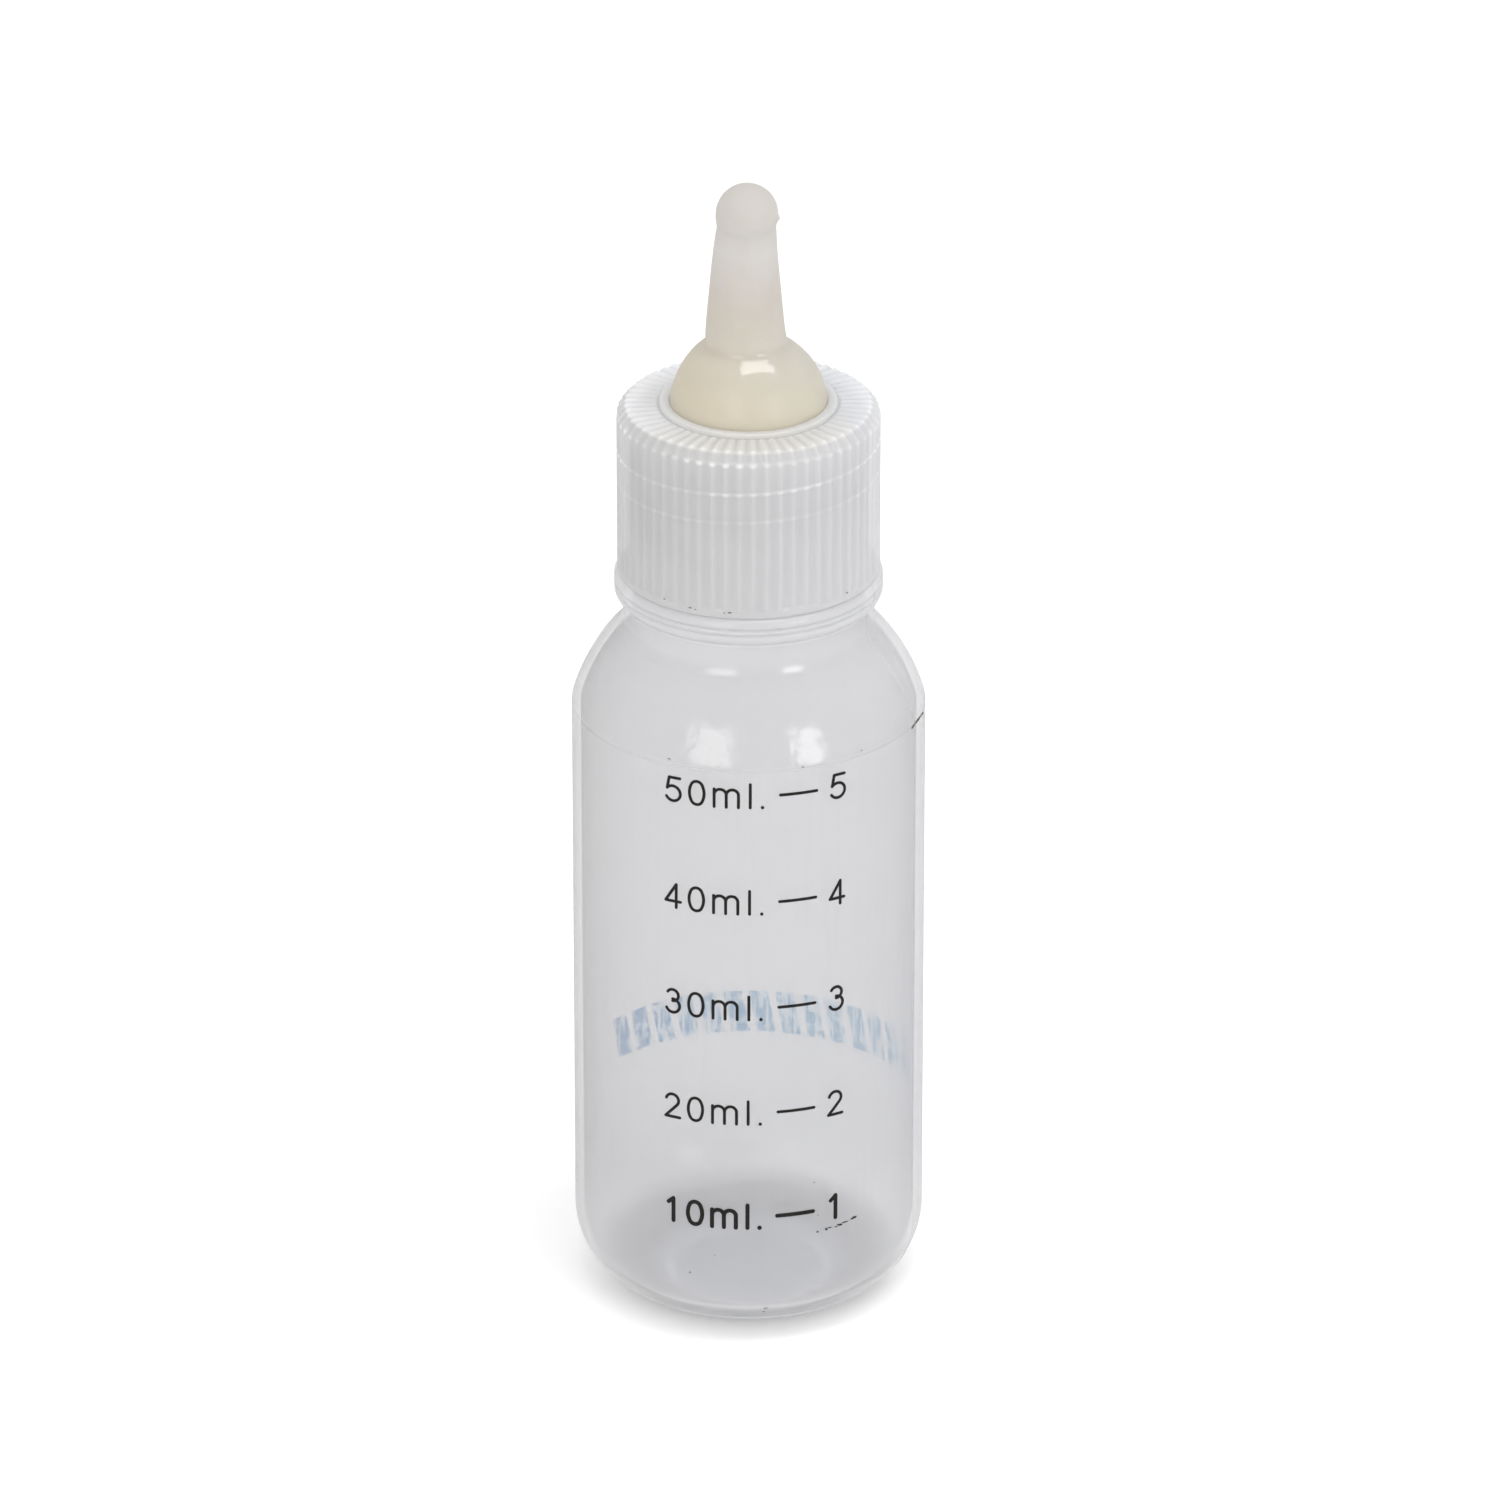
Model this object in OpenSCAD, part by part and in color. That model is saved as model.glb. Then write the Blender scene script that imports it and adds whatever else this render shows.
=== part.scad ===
// Small nursing bottle: a graduated soft bottle, a ribbed screw cap with a hole in its top, and a soft teat.
// Millimetres. +Z is up, the origin is the centre of the base, and the graduations face -Y.

/* [Bottle] */
// Outer radius of the body
body_r = 17.5; // [17:0.1:18]
// Wall thickness of the body
wall = 0.9; // [0.7:0.1:1.1]
// Rounding between the body and the base
base_round = 8.0; // [7:0.5:8.5]
// Radius of the hollow under the base
push_up_r = 7.5; // [6:0.5:8]
// Depth of the hollow under the base
push_up_h = 1.0; // [0.6:0.1:1.4]
// Radius of the domed shoulder
shoulder_r = 18.2; // [18:0.1:18.6]
// Height of the shoulder dome's centre
shoulder_z = 58.75; // [58:0.25:59.5]

/* [Neck] */
// Outer radius of the neck below its bead
neck_r = 12.4; // [12.2:0.1:12.6]
// Radius where the shoulder flows into the neck
neck_fillet = 2.5; // [2:0.1:3]
// Outer radius of the bead under the cap
bead_r = 13.25; // [13:0.05:13.5]
// Height of the bead's lower edge
bead_z = 75.1; // [74.8:0.1:75.3]
// Thickness of the bead
bead_h = 2.8; // [2.5:0.1:2.9]
// Outer radius of the threaded finish, at the root of its thread
finish_r = 10.8; // [10.7:0.1:10.9]
// Radius of the mouth
bore_r = 9.7; // [9.5:0.1:9.8]

/* [Thread] */
// Distance between turns of the thread
pitch = 3.0; // [2.8:0.1:3.2]
// Turns of thread on the neck
neck_turns = 2.25; // [2:0.25:2.5]
// Turns of thread in the cap
cap_turns = 2; // [1.5:0.25:2]
// Depth of the thread
thread_depth = 0.7; // [0.5:0.1:0.7]
// Radial gap between each crest and the wall it faces
thread_gap = 0.25; // [0.2:0.05:0.3]

/* [Cap] */
// Outer radius over the ribs
cap_r = 12.95; // [12.9:0.05:13.1]
// Height of the cap's lower edge
cap_z = 78.1; // [78:0.1:78.3]
// Height of the cap over the ribs
cap_h = 17.5; // [17.4:0.05:17.6]
// Number of grip ribs
rib_count = 60; // [48:2:64]
// Width of a grip rib
rib_w = 0.6; // [0.5:0.05:0.65]
// Height of a grip rib above the cap's skin
rib_h = 0.35; // [0.25:0.05:0.4]
// Bevel between the side and the top, over the ribs
cap_bevel = 1.0; // [0.8:0.05:1.1]
// Radius of the hole that the teat passes through
hole_r = 7.8; // [7.75:0.05:7.9]
// Height of the smooth ring around the hole, above the ribs
lip_h = 0.25; // [0.15:0.05:0.4]

/* [Teat] */
// Outer radius of the teat's dome
dome_r = 7.65; // [7.5:0.05:7.65]
// Outer radius of the stem where it leaves the dome
stem_low_r = 3.85; // [3.7:0.05:4]
// Outer radius of the stem under the tip
stem_high_r = 2.9; // [2.8:0.05:3]
// Outer radius of the rounded tip
tip_r = 3.05; // [3:0.05:3.2]
// Height of the very top of the teat
teat_top = 118.5; // [118:0.1:119]
// Wall thickness of the teat
teat_wall = 1.15; // [0.9:0.05:1.2]
// Thickness of the flange clamped under the cap
flange_t = 1.2; // [1:0.1:1.3]
// Radius of the flange
flange_r = 10.3; // [10:0.1:10.5]

/* [Print] */
// Height of the 10 ml mark above the base
first_mark_z = 14.8; // [14.5:0.1:15]
// Height between two marks
mark_step = 11.6; // [11.5:0.05:11.65]
// Height of the numerals
digit_h = 2.8; // [2.6:0.1:3]
// Width of a printed stroke
stroke = 0.3; // [0.26:0.02:0.36]
// Width of a stroke in the smudged lowest line
bold_stroke = 0.42; // [0.36:0.02:0.5]
// Thickness of the ink
ink_t = 0.05; // [0.04:0.01:0.08]
// Height of the centre of the decorative band at the back
band_z = 20; // [19:0.5:22]
// Height of the decorative band
band_h = 4.6; // [4:0.2:5]

/* [Hidden] */
$fn = 96;
eps = 0.01;

cap_top = cap_z + cap_h;
cap_skin_top = cap_top - rib_h;
cap_skin_r = cap_r - rib_h;
cap_ceiling = 94.15;
clamp_gap = 0.1;
flange_z = cap_ceiling - clamp_gap - flange_t;
rim_z = flange_z - clamp_gap;
cap_inner_r = finish_r + thread_depth + thread_gap;
thread_root_w = 1.3;
thread_crest_w = 0.7;
neck_thread_top = 90.85;
neck_thread_z = neck_thread_top - neck_turns * pitch;
cap_thread_z = neck_thread_z + pitch / 2;
dome_z = cap_ceiling + 1.2;
tip_z = teat_top - tip_r;
fillet_x = neck_r + neck_fillet;
fillet_z = shoulder_z + sqrt((shoulder_r + neck_fillet) ^ 2 - fillet_x ^ 2);
push_up_ball = (push_up_r ^ 2 + push_up_h ^ 2) / (2 * push_up_h);
// Places of the characters along the arc of the body, from the middle of the print
digit_s = -8.35;
zero_s = -5.9;
m_s = -2.95;
l_s = -0.6;
dot_s = 0.6;
dash_s = 4.22;
tally_s = 8.4;
dash_half = 1.85;
// The print leans by this much arc per millimetre of height
print_lean = 0.006;
band_bars = 14;
band_step = 8.6;
band_turn = -11;
bar_w = 1.9;
bar_slant = 0.45;

// ---- Bottle ----

// A quarter disc of radius r around a centre, in the quadrant that the signs side gives
module quarter(centre, r, side) {
    translate(centre) intersection() {
        circle(r = r);
        mirror([side[0] < 0 ? 1 : 0, 0]) mirror([0, side[1] < 0 ? 1 : 0]) square(r);
    }
}

// Half section of the bottle below its neck, moved inwards by t
module body_half(t) {
    core_r = body_r - base_round;
    translate([0, base_round]) square([body_r - t, shoulder_z - base_round]);
    translate([0, t]) square([core_r, base_round - t]);
    quarter([core_r, base_round], base_round - t, [1, -1]);
    intersection() {
        quarter([0, shoulder_z], shoulder_r - t, [1, 1]);
        translate([0, shoulder_z]) square([body_r - t, shoulder_r]);
    }
    difference() {
        polygon([[0, shoulder_z], [fillet_x, fillet_z], [0, fillet_z]]);
        translate([fillet_x, fillet_z]) circle(r = neck_fillet + t);
    }
}

// Half section of the bottle's neck, with its bead
module neck_half() {
    edge = 1.0;
    top = bead_z + bead_h;
    translate([0, fillet_z]) square([neck_r, bead_z + edge - fillet_z]);
    translate([0, bead_z]) square([bead_r - edge, bead_h]);
    translate([0, bead_z + edge]) square([bead_r, bead_h - 2 * edge]);
    quarter([bead_r - edge, bead_z + edge], edge, [1, -1]);
    quarter([bead_r - edge, top - edge], edge, [1, 1]);
    translate([0, top]) square([finish_r, rim_z - top]);
}

// Half section of the bore, which narrows behind the bead
module bore_half() {
    low_r = neck_r - wall;
    flare_z = bead_z - 0.6;
    polygon([[0, fillet_z], [low_r, fillet_z], [low_r, flare_z], [bore_r, flare_z + 2],
             [bore_r, rim_z + 1], [0, rim_z + 1]]);
}

// A single-start right-hand thread, as one closed ribbon of four-sided sections.
// It reaches from wall_r to crest_r, starts at height z0, and each end sinks into the wall within an eighth of a turn.
module thread(wall_r, crest_r, z0, turns) {
    per_turn = 36;
    n = round(turns * per_turn);
    fade = per_turn / 8;
    sink = crest_r > wall_r ? -0.3 : 0.3;
    end_r = wall_r + sink / 3;
    function crest(i) = end_r + (crest_r - end_r) * min(1, i / fade, (n - i) / fade);
    function section(i) = [
        for (c = [[wall_r + sink, -thread_root_w / 2], [crest(i), -thread_crest_w / 2],
                  [crest(i), thread_crest_w / 2], [wall_r + sink, thread_root_w / 2]])
            [c[0] * cos(i * 360 / per_turn), c[0] * sin(i * 360 / per_turn), z0 + i * pitch / per_turn + c[1]]
    ];
    points = [for (i = [0 : n]) each section(i)];
    sides = [for (i = [0 : n - 1]) for (k = [0 : 3]) let (a = 4 * i + k, b = 4 * i + (k + 1) % 4)
        each [[a, a + 4, b], [b, a + 4, b + 4]]];
    ends = [[0, 1, 2], [0, 2, 3], [4 * n, 4 * n + 2, 4 * n + 1], [4 * n, 4 * n + 3, 4 * n + 2]];
    flip = crest_r > wall_r;
    faces = concat(sides, ends);
    polyhedron(points = points, faces = flip ? [for (f = faces) [f[0], f[2], f[1]]] : faces, convexity = 8);
}

module bottle() {
    color([0.86, 0.87, 0.88, 0.8]) {
        rotate_extrude() difference() {
            union() {
                body_half(0);
                neck_half();
            }
            difference() {
                union() {
                    body_half(wall);
                    bore_half();
                }
                translate([0, push_up_h - push_up_ball]) circle(r = push_up_ball + wall);
            }
            translate([0, push_up_h - push_up_ball]) circle(r = push_up_ball);
        }
        thread(finish_r, finish_r + thread_depth, neck_thread_z, neck_turns);
    }
}

// ---- Screw cap ----

// Half section of the cap's outside, with a bevel at its top edge
module cap_half(r, top, bevel) {
    polygon([[0, cap_z], [r, cap_z], [r, top - bevel], [r - bevel, top], [0, top]]);
}

module screw_cap() {
    band = 0.8;
    lip_out = 8.7;
    rib_start = lip_out + 0.1;
    skin_bevel = cap_bevel - 0.15;
    color([0.85, 0.85, 0.84, 0.9])
    difference() {
        union() {
            difference() {
                union() {
                    rotate_extrude() cap_half(cap_skin_r, cap_skin_top, skin_bevel);
                    // smooth band under the ribs, and the ring around the hole
                    translate([0, 0, cap_z]) cylinder(r = cap_r, h = band);
                    cylinder(r = lip_out, h = cap_top + lip_h);
                    intersection() {
                        rotate_extrude() cap_half(cap_r, cap_top, cap_bevel);
                        translate([0, 0, cap_z]) linear_extrude(cap_h)
                            for (i = [0 : rib_count - 1]) rotate(i * 360 / rib_count)
                                translate([rib_start, -rib_w / 2]) square([cap_r, rib_w]);
                    }
                }
                translate([0, 0, -1]) cylinder(r = cap_inner_r, h = cap_ceiling + 1);
            }
            thread(cap_inner_r, finish_r + thread_gap, cap_thread_z, cap_turns);
        }
        cylinder(r = hole_r, h = cap_top + lip_h + 1);
    }
}

// ---- Teat ----

// Half section of the teat's outside above the flange moved inwards by t
module teat_half(t) {
    stem_z = dome_z + sqrt(dome_r ^ 2 - stem_low_r ^ 2) - 1;
    translate([0, flange_z]) square([dome_r - t, dome_z - flange_z]);
    intersection() {
        translate([0, dome_z]) circle(r = dome_r - t);
        translate([0, dome_z - eps]) square([dome_r, dome_r]);
    }
    polygon([[0, stem_z - t], [stem_low_r - t, stem_z - t], [stem_high_r - t, tip_z - 1], [0, tip_z - 1]]);
    intersection() {
        translate([0, tip_z]) circle(r = tip_r - t);
        translate([0, tip_z - 2 * tip_r]) square([tip_r, 4 * tip_r]);
    }
}

module teat() {
    color([0.86, 0.81, 0.70])
    difference() {
        rotate_extrude() {
            teat_half(0);
            translate([0, flange_z]) square([flange_r, flange_t]);
        }
        rotate_extrude() teat_half(teat_wall);
        translate([0, 0, flange_z - 1]) cylinder(r = dome_r - teat_wall, h = 2);
    }
}

// ---- Print ----

// One straight printed stroke with round ends, as wide as $pen
module bar(a, b) {
    d = b - a;
    length = norm(d);
    translate(a) rotate(atan2(d[1], d[0])) {
        translate([0, -$pen / 2]) square([length, $pen]);
        circle(d = $pen, $fn = 24);
        translate([length, 0]) circle(d = $pen, $fn = 24);
    }
}

// One curved printed stroke from angle a0 to angle a1, with round ends, as wide as $pen
module bow(centre, r, a0, a1) {
    reach = 2 * r;
    steps = 12;
    translate(centre) {
        intersection() {
            difference() {
                circle(r = r + $pen / 2, $fn = 48);
                circle(r = r - $pen / 2, $fn = 48);
            }
            polygon(concat([[0, 0]], [for (i = [0 : steps]) let (a = a0 + (a1 - a0) * i / steps)
                [reach * cos(a), reach * sin(a)]]));
        }
        for (a = [a0, a1]) translate([r * cos(a), r * sin(a)]) circle(d = $pen, $fn = 24);
    }
}

module digit_0() {
    w = 0.75;
    h = digit_h / 2 - stroke / 2;
    end_r = 0.6;
    side_r = (w ^ 2 + (h - end_r) ^ 2 - end_r ^ 2) / (2 * (w - end_r));
    meet = atan2(h - end_r, side_r - w);
    translate([0, digit_h / 2]) for (s = [0, 180]) rotate(s) {
        bow([0, h - end_r], end_r, meet, 180 - meet);
        bow([w - side_r, 0], side_r, -meet, meet);
    }
}

module digit_1() {
    top = digit_h - stroke / 2;
    bar([0.15, stroke / 2], [0.15, top]);
    bar([0.15, top], [-0.4, top - 0.5]);
}

module digit_2() {
    low = stroke / 2;
    r = 0.68;
    c = [0, digit_h - stroke / 2 - r];
    bow(c, r, -40, 165);
    bar(c + r * [cos(-40), sin(-40)], [-0.75, low]);
    bar([-0.75, low], [0.8, low]);
}

module digit_3() {
    r_top = 0.62;
    r_low = 0.74;
    bow([0, digit_h - stroke / 2 - r_top], r_top, -90, 150);
    bow([0, stroke / 2 + r_low], r_low, -155, 90);
}

module digit_4() {
    top = digit_h - stroke / 2;
    cross = 0.8;
    bar([0.35, stroke / 2], [0.35, top]);
    bar([0.35, top], [-0.8, cross]);
    bar([-0.8, cross], [0.8, cross]);
}

module digit_5() {
    top = digit_h - stroke / 2;
    r = 0.8;
    c = [-0.05, stroke / 2 + r];
    bar([-0.45, top], [0.7, top]);
    bar([-0.45, top], c + r * [cos(140), sin(140)]);
    bow(c, r, -150, 140);
}

module digit(n) {
    if (n == 0) digit_0();
    if (n == 1) digit_1();
    if (n == 2) digit_2();
    if (n == 3) digit_3();
    if (n == 4) digit_4();
    if (n == 5) digit_5();
}

module letter_m() {
    arch = 0.6;
    top = 2.2 - stroke / 2;
    bar([-2 * arch, stroke / 2], [-2 * arch, top]);
    for (x = [-arch, arch]) {
        bow([x, top - arch], arch, 0, 180);
        bar([x + arch, stroke / 2], [x + arch, top - arch]);
    }
}

// Wraps a flat shape onto the body at arc length s and height z, as a layer of ink
module ink(s, z, h) {
    rotate([0, 0, s / body_r * 180 / PI])
        intersection() {
            translate([0, 0, z - h]) difference() {
                cylinder(r = body_r + ink_t, h = 3 * h);
                translate([0, 0, -1]) cylinder(r = body_r, h = 3 * h + 2);
            }
            translate([0, 0, z]) rotate([90, 0, 0]) linear_extrude(body_r + 2) children();
        }
}

// One line of the scale, such as 50 ml with its mark and its number of tens
module scale_line(tens) {
    mark_z = first_mark_z + (tens - 1) * mark_step;
    z = mark_z - digit_h / 2;
    shift = print_lean * (mark_z - first_mark_z - 2 * mark_step);
    $pen = tens == 1 ? bold_stroke : stroke;
    color([0.16, 0.15, 0.14]) {
        ink(digit_s + shift, z, digit_h) digit(tens);
        ink(zero_s + shift, z, digit_h) digit(0);
        ink(m_s + shift, z, digit_h) letter_m();
        ink(l_s + shift, z, digit_h) bar([0, stroke / 2], [0, digit_h - stroke / 2]);
        ink(dot_s + shift, z, digit_h) translate([0, stroke / 2]) circle(d = $pen + 0.04, $fn = 24);
        ink(dash_s + shift, z, digit_h) bar([-dash_half, digit_h / 2], [dash_half, digit_h / 2]);
        ink(tally_s + shift, z, digit_h) digit(tens);
    }
}

module scale_50ml() { scale_line(5); }

module scale_40ml() { scale_line(4); }

module scale_30ml() { scale_line(3); }

module scale_20ml() { scale_line(2); }

module scale_10ml() { scale_line(1); }

// A row of slanted bars around the back
module rear_band() {
    first = 180 + band_turn - (band_bars - 1) * band_step / 2;
    color([0.62, 0.71, 0.82])
        for (i = [0 : band_bars - 1]) rotate([0, 0, first + i * band_step])
            ink(0, band_z - band_h / 2, band_h)
                polygon([[-bar_w / 2 - bar_slant, 0], [bar_w / 2 - bar_slant, 0],
                         [bar_w / 2 + bar_slant, band_h], [-bar_w / 2 + bar_slant, band_h]]);
}

bottle();
screw_cap();
teat();
scale_50ml();
scale_40ml();
scale_30ml();
scale_20ml();
scale_10ml();
rear_band();
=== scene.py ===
"""The looks of a small nursing bottle: milky bottle and cap, latex teat, printed scale and worn print behind.

Angles run round the bottle's axis from the printed front (-Y) towards +X. Profiles are in millimetres.
"""
import math
import random
import bpy
import mathutils
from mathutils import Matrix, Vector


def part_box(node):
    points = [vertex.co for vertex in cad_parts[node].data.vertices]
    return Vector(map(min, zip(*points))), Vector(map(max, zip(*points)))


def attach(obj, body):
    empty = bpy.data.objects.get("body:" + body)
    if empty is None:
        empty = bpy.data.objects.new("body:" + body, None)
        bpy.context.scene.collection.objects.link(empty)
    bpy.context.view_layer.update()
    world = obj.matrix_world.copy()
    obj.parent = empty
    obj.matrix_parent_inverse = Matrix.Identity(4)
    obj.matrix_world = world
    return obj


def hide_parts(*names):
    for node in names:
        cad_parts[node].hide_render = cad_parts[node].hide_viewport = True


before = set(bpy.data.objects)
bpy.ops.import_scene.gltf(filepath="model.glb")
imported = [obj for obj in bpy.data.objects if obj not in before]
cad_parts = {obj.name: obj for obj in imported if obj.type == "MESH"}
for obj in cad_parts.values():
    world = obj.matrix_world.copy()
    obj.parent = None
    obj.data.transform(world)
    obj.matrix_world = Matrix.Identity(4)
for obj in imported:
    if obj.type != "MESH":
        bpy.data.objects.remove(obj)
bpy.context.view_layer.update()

MM = 0.001
TURN = 2 * math.pi


def reach(name):
    """Radius of a round CAD node, in millimetres."""
    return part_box(name)[1].x / MM


def foot(name):
    """Height of a CAD node's lowest point, in millimetres."""
    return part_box(name)[0].z / MM


def top(name):
    """Height of a CAD node's highest point, in millimetres."""
    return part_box(name)[1].z / MM


# ---- Driving sizes, in millimetres ----

BODY_R = reach("bottle")
RIM_Z = top("bottle")
WALL = 0.9
BASE_ROUND = 8.0
PUSH_UP_R = 7.5
PUSH_UP_H = 1.0
SHOULDER_R = BODY_R + 0.7
SHOULDER_Z = 58.75
NECK_R = 12.4
NECK_FILLET = 2.5
BEAD_R = 13.25
BEAD_Z = 75.1
BEAD_H = 2.92
FINISH_R = 10.8
BORE_R = 9.7

PITCH = 3.0
THREAD_DEPTH = 0.7
THREAD_GAP = 0.25
THREAD_ROOT = 0.65
THREAD_CREST = 0.35
# The share of a turn over which a thread's end rises
THREAD_RUN_OUT = 0.125
NECK_TURNS = 2.25
CAP_TURNS = 2
NECK_THREAD_TOP = 90.85
NECK_THREAD_Z = NECK_THREAD_TOP - NECK_TURNS * PITCH
CAP_THREAD_Z = NECK_THREAD_Z + PITCH / 2

CAP_R = reach("screw_cap")
CAP_Z = foot("screw_cap")
LIP_TOP = top("screw_cap")
LIP_H = 0.25
CAP_TOP = LIP_TOP - LIP_H
RIB_COUNT = 60
SIDE_RIB_H = 0.15
TOP_RIB_H = 0.24
RIB_HALF = 0.28
CAP_BEVEL = 1.0
CAP_INNER_R = FINISH_R + THREAD_DEPTH + THREAD_GAP
CAP_ROOF = 1.45
CAP_CEILING = CAP_TOP - CAP_ROOF
CAP_INNER_EDGE = 0.3
HOLE_R = 7.75
LIP_R = 8.7

FLANGE_R = reach("teat")
FLANGE_Z = foot("teat")
FLANGE_T = 1.2
TEAT_TOP = top("teat")
DOME_R = 7.65
DOME_Z = CAP_CEILING + 1.2
STEM_LOW_R = 3.85
STEM_HIGH_R = 2.9
TIP_R = 3.05
TIP_Z = TEAT_TOP - TIP_R
BULB_Z = TIP_Z - 0.75
TEAT_WALL = 1.15


# ---- Outlines and meshes ----

def arc(centre, radius, start, end, steps):
    """Points of an arc in a profile, with its angles in degrees."""
    out = []
    for i in range(steps + 1):
        a = math.radians(start + (end - start) * i / steps)
        out.append((centre[0] + radius * math.cos(a), centre[1] + radius * math.sin(a)))
    return out


def line(start, end, steps):
    """Points of a straight stretch in a profile, without its first point."""
    out = []
    for i in range(1, steps + 1):
        t = i / steps
        out.append((start[0] + (end[0] - start[0]) * t, start[1] + (end[1] - start[1]) * t))
    return out


def smooth(t):
    """Rises smoothly from 0 to 1 as t does."""
    t = min(1.0, max(0.0, t))
    return t * t * (3 - 2 * t)


def even_angles(steps):
    return [TURN * i / steps for i in range(steps)]


def revolve(name, profile, angles, shape, sharp, closed=False):
    """A closed mesh from a profile turned about the axis.

    shape(r, z, angle, i) moves the profile's point i to a new (x, y, z). An open profile starts and ends
    on the axis, and a closed one is a ring's section.
    """
    count = len(angles)
    verts = []
    rings = []
    for i, (r, z) in enumerate(profile):
        on_axis = not closed and i in (0, len(profile) - 1)
        ring = []
        for a in angles[:1] if on_axis else angles:
            ring.append(len(verts))
            verts.append([v * MM for v in shape(r, z, a, i)])
        rings.append(ring)
    faces = []
    pairs = list(zip(rings, rings[1:]))
    if closed:
        pairs.append((rings[-1], rings[0]))
    for low, high in pairs:
        for j in range(count):
            k = (j + 1) % count
            if len(low) == 1:
                faces.append((low[0], high[k], high[j]))
            elif len(high) == 1:
                faces.append((low[j], low[k], high[0]))
            else:
                faces.append((low[j], low[k], high[k], high[j]))
    mesh = bpy.data.meshes.new(name)
    mesh.from_pydata(verts, [], faces)
    mesh.validate()
    mesh.shade_smooth()
    mesh.set_sharp_from_angle(angle=math.radians(sharp))
    piece = bpy.data.objects.new(name, mesh)
    bpy.context.scene.collection.objects.link(piece)
    return piece


def thread_height(z, angle, start_z, turns):
    """How far a thread stands out of its wall at a point, from 0 to its depth."""
    around = ((angle - TURN / 4) % TURN) / TURN
    count = (z - start_z) / PITCH - around
    nearest = round(count)
    along = nearest + around
    off = abs(count - nearest) * PITCH
    run_out = smooth(min(along, turns - along) / THREAD_RUN_OUT)
    return THREAD_DEPTH * run_out * smooth((THREAD_ROOT - off) / (THREAD_ROOT - THREAD_CREST))


# ---- Bottle ----

PARTING = math.radians(67.5)
PARTING_H = 0.09
PARTING_HALF = 0.22
# The corner between the body and the shoulder, with a fine groove
SEAM_Z = SHOULDER_Z + math.sqrt(SHOULDER_R ** 2 - BODY_R ** 2)
SEAM_DEPTH = 0.02
SEAM_HALF = 0.13
BEAD_GROOVES = (BEAD_Z + 1.25, BEAD_Z + 1.85)
GROOVE_DEPTH = 0.18
GROOVE_HALF = 0.14


def bottle_angles():
    """Even steps, with finer ones across the two parting lines."""
    out = even_angles(288)
    step = PARTING_HALF / BODY_R / 2
    for side in (PARTING, PARTING + TURN / 2):
        out = [a for a in out if abs((a - side + TURN / 2) % TURN - TURN / 2) > 3 * step]
        out += [(side + k * step) % TURN for k in (-3, -2, -1, 0, 1, 2, 3)]
    return sorted(out)


def shoulder_points(inset, steps):
    """The shoulder and the fillet into the neck, moved inwards, from the body's wall up to the neck."""
    ball = SHOULDER_R - inset
    fillet = NECK_FILLET + inset
    out = NECK_R + NECK_FILLET
    centre = (out, SHOULDER_Z + math.sqrt((SHOULDER_R + NECK_FILLET) ** 2 - out ** 2))
    start = math.degrees(math.acos((BODY_R - inset) / ball))
    meet = math.degrees(math.atan2(centre[1] - SHOULDER_Z, centre[0]))
    points = arc((0, SHOULDER_Z), ball, start, start + 3, 8)
    points += arc((0, SHOULDER_Z), ball, start + 3, meet, steps)[1:]
    points += arc(centre, fillet, meet - 180, -180, steps // 2)[1:]
    return points


def bead_points():
    """The bead under the cap: a rounded ring with two fine grooves."""
    edge = 1.0
    top_edge = 0.8
    points = arc((BEAD_R - edge, BEAD_Z + edge), edge, -90, 0, 8)
    points += line((BEAD_R, BEAD_Z + edge), (BEAD_R, BEAD_Z + BEAD_H - top_edge), 20)
    points += arc((BEAD_R - top_edge, BEAD_Z + BEAD_H - top_edge), top_edge, 0, 90, 16)[1:]
    out = []
    for r, z in points:
        cut = sum(GROOVE_DEPTH * math.exp(-((z - g) / GROOVE_HALF) ** 2) for g in BEAD_GROOVES)
        out.append((r - cut, z))
    return out


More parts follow.
